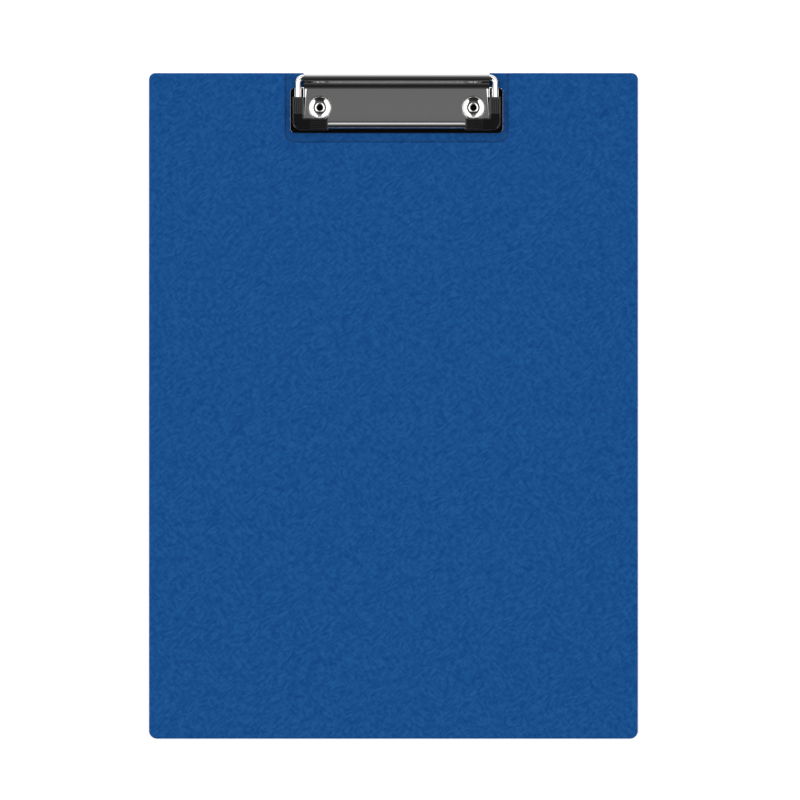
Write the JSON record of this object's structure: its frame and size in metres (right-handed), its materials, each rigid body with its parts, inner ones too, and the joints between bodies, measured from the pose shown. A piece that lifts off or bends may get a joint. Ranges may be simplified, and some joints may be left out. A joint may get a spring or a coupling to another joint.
{
  "type": "clipboard",
  "caption": "Covered A4 clipboard with a riveted chrome clip base at its top edge and a sprung wire bail that hinges in a curled barrel and carries plastic corner guards.",
  "frame": {"origin": "centre of the board's flat back face, under the middle of the board", "axes": "+Z out of the front face, +Y along the board towards the clip, +X to the right when the front is seen with the clip at the top"},
  "size_m": [0.235, 0.32, 0.007],
  "materials": {
    "greyboard": "matte",
    "cover_vinyl": "fine leather grain",
    "lining_vinyl": "fine leather grain",
    "clip_chrome": "bright plated sheet",
    "rivet_nickel": "bright plated",
    "wire_chrome": "bright plated wire",
    "guard_plastic": "satin moulded"
  },
  "bodies": {
    "board": {"board_core": "greyboard", "front_cover": "cover_vinyl", "back_lining": "lining_vinyl", "clip_base": "clip_chrome", "rivet_left": "rivet_nickel", "rivet_right": "rivet_nickel", "rivet_washer_left": "rivet_nickel", "rivet_washer_right": "rivet_nickel"},
    "bail": {"spring_bail": "wire_chrome", "corner_guard_left": "guard_plastic", "corner_guard_right": "guard_plastic"}
  },
  "joints": [
    {"name": "bail_hinge", "type": "hinge", "parent": "board", "child": "bail", "pos_m": [0.0015, 0.1576, 0.00465], "axis": [-1, 0, 0], "range_deg": [0, 100], "stiffness_Nm_per_rad": 0.2, "springref_deg": -57.3}
  ]
}
